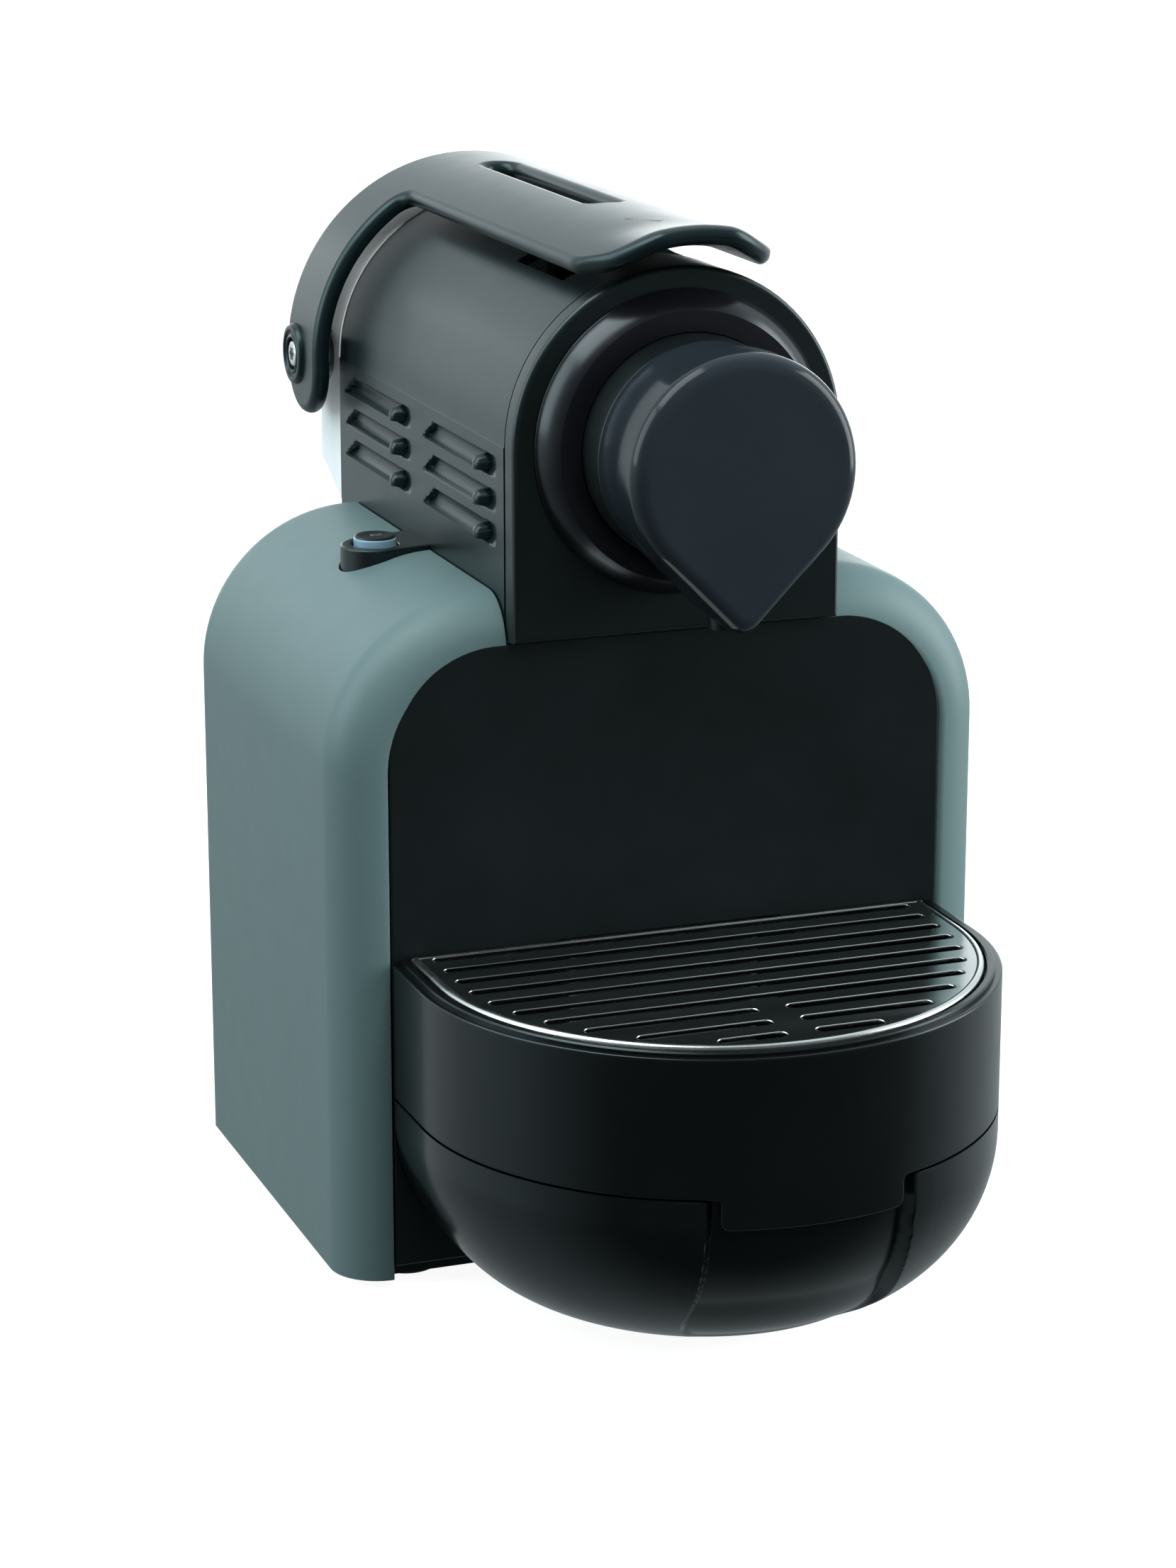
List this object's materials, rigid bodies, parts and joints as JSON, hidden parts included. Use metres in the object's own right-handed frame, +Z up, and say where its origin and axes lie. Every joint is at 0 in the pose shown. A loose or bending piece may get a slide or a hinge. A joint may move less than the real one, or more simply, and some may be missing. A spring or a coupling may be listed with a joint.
{
  "type": "pod coffee machine",
  "caption": "Compact pod coffee machine: arch head with lift-up lever, teardrop spout cover, round cup tray over capsule drawer and drip bowl, rear water tank.",
  "frame": {"origin": "under the centre of the bounding box, on the surface the feet stand on", "axes": "+Z up, +X to the machine's right, -Y to the front where the cup stands"},
  "size_m": [0.163, 0.2412, 0.2506],
  "materials": {
    "cover_paint": "satin",
    "satin_black": "satin",
    "head_plastic": "fine grain satin",
    "gloss_black": "gloss",
    "hood_plastic": "satin",
    "clear_tank": "clear",
    "steel": "polished",
    "brass": "bright",
    "rubber": "matt",
    "grey_plastic": "satin",
    "light_ring": "translucent",
    "aluminium": "cast",
    "green_board": "satin",
    "silicone": "satin"
  },
  "bodies": {
    "base": {"left_side_cover": "cover_paint", "right_side_cover": "cover_paint", "front_panel": "satin_black", "base_plate": "satin_black", "rubber_feet": "rubber", "base_screws": "steel", "rear_panel": "satin_black", "cord_gland": "rubber", "power_switch_housing": "satin_black", "head_cover": "head_plastic", "rear_hood": "hood_plastic", "head_bezel": "satin_black", "dished_ring": "gloss_black", "nose_neck": "gloss_black", "nose_cover": "gloss_black", "coffee_spout": "satin_black", "brew_head": "grey_plastic", "extraction_plate": "steel", "left_brew_plate": "grey_plastic", "right_brew_plate": "grey_plastic", "plate_spacers": "steel", "capsule_guides": "grey_plastic", "pivot_bushes": "grey_plastic", "left_button_pad": "satin_black", "right_button_pad": "satin_black", "button_switches": "satin_black", "button_boards": "green_board", "tank_cradle": "satin_black", "tank_socket": "grey_plastic", "valve_pin": "grey_plastic", "capsule_chute": "grey_plastic", "water_pump": "steel", "pump_mounts": "rubber", "thermoblock": "aluminium", "thermal_cutouts": "satin_black", "flow_meter": "grey_plastic", "control_board": "green_board", "suction_hose": "silicone", "pressure_hose": "silicone", "brew_hose": "silicone"},
    "lever": {"lever": "head_plastic", "pivot_screws": "steel", "lever_crank": "steel"},
    "brew_slide": {"capsule_cage": "grey_plastic", "cage_seal": "rubber", "piercing_blades": "steel", "cage_carriage": "grey_plastic"},
    "espresso_key": {"espresso_button": "satin_black", "espresso_light_ring": "light_ring"},
    "lungo_key": {"lungo_button": "satin_black", "lungo_light_ring": "light_ring"},
    "tray": {"drip_bowl": "gloss_black"},
    "container": {"capsule_container": "satin_black"},
    "grid": {"drip_grid": "steel"},
    "tank": {"water_tank": "clear_tank", "valve_spring": "steel"},
    "tank_lid": {"tank_lid": "satin_black"},
    "poppet": {"valve_poppet": "grey_plastic"},
    "rocker": {"power_rocker": "gloss_black"}
  },
  "joints": [
    {"name": "lever_hinge", "type": "hinge", "parent": "base", "child": "lever", "pos_m": [0, 0.1102, 0.1988], "axis": [-1, 0, 0], "range_deg": [0, 95]},
    {"name": "brew_slide_travel", "type": "slide", "parent": "base", "child": "brew_slide", "axis": [0, 1, 0], "range_m": [0, 0.027]},
    {"name": "espresso_press", "type": "slide", "parent": "base", "child": "espresso_key", "axis": [0, 0, -1], "range_m": [0, 0.0012], "stiffness_N_per_m": 400, "springref_m": -0.001},
    {"name": "lungo_press", "type": "slide", "parent": "base", "child": "lungo_key", "axis": [0, 0, -1], "range_m": [0, 0.0012], "stiffness_N_per_m": 400, "springref_m": -0.001},
    {"name": "tray_pull", "type": "slide", "parent": "base", "child": "tray", "axis": [0, -1, 0], "range_m": [0, 0.12]},
    {"name": "container_lift", "type": "slide", "parent": "tray", "child": "container", "axis": [0, 0, 1], "range_m": [0, 0.03]},
    {"name": "grid_lift", "type": "slide", "parent": "container", "child": "grid", "axis": [0, 0, 1], "range_m": [0, 0.04]},
    {"name": "tank_pull", "type": "slide", "parent": "base", "child": "tank", "axis": [0, 1, 0], "range_m": [0, 0.09]},
    {"name": "tank_lid_slide", "type": "slide", "parent": "tank", "child": "tank_lid", "axis": [0, 1, 0], "range_m": [0, 0.022]},
    {"name": "tank_valve", "type": "slide", "parent": "tank", "child": "poppet", "axis": [0, 1, 0], "range_m": [0, 0.0025], "stiffness_N_per_m": 300, "springref_m": -0.002, "deforming": ["valve_spring"]},
    {"name": "power_rock", "type": "hinge", "parent": "base", "child": "rocker", "pos_m": [-0.071, 0.0842, 0.023], "axis": [1, 0, 0], "range_deg": [0, 8]}
  ],
  "couplings": [
    {"joint": "brew_slide_travel", "follows": "lever_hinge", "m_per_rad": 0.016284}
  ]
}
